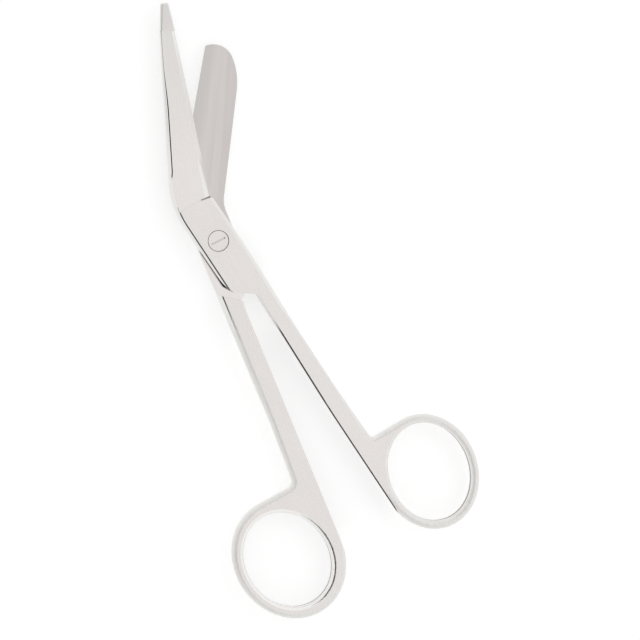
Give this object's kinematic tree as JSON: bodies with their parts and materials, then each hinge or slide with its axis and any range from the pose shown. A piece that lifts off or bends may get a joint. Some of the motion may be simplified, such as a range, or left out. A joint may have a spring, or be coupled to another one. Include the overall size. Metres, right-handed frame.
{
  "type": "bandage scissors",
  "caption": "Angled bandage scissors with a long probe-tipped blade, a short round-tipped blade, a lap joint on a slotted screw and oval finger rings.",
  "frame": {"origin": "on the pivot screw's axis, in the flat underside of the joint", "axes": "+Z along the pivot screw towards its slotted head, +Y from the joint towards the blades and midway between the two handles, blades angled towards +X"},
  "size_m": [0.0834, 0.1877, 0.0056],
  "materials": {
    "probe_steel": "satin-ground stainless steel",
    "round_tip_steel": "satin-ground stainless steel",
    "screw_steel": "ground flush, satin"
  },
  "bodies": {
    "round_tip_half": {"round_tip_half": "round_tip_steel", "pivot_screw": "screw_steel"},
    "probe_half": {"probe_half": "probe_steel"}
  },
  "joints": [
    {"name": "pivot", "type": "hinge", "parent": "round_tip_half", "child": "probe_half", "pos_m": [0, 0, 0.0028], "axis": [0, 0, 1], "range_deg": [-11.1, 105]}
  ]
}
